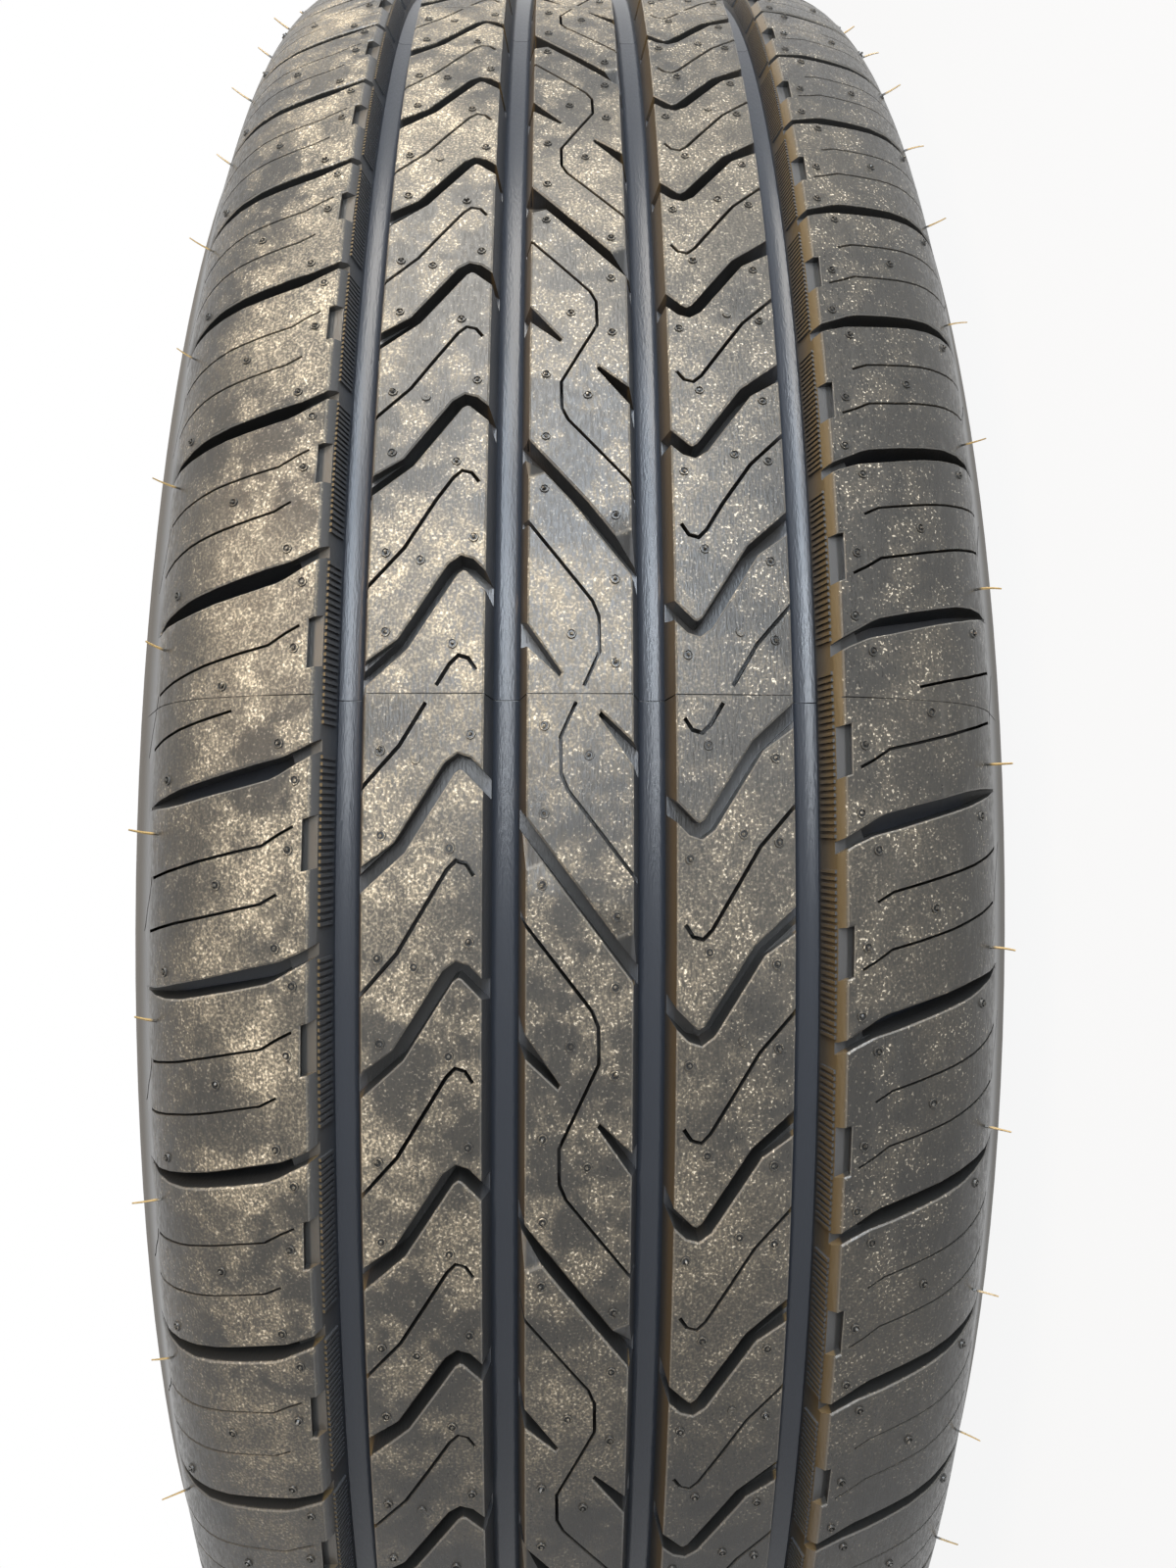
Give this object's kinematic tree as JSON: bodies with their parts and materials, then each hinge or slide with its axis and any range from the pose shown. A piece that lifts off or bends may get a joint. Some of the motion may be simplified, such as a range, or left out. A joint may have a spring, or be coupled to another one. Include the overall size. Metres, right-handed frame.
{
  "type": "car tyre",
  "caption": "Tubeless passenger car tyre with ribs, round grooves, hooked and slanted cross grooves, bare sidewalls and two beads for a 15 inch rim.",
  "frame": {"origin": "centre of the wheel: on the axle, midway between the two sidewalls", "axes": "+Z along the axle, so the tyre lies on one sidewall; -Y is the front, where the longest stretch of even pitches faces"},
  "size_m": [0.6216, 0.6215, 0.189],
  "materials": {
    "tyre": "matt black rubber with light dust on the tread"
  },
  "bodies": {
    "root": {"tyre": "tyre"}
  },
  "joints": []
}
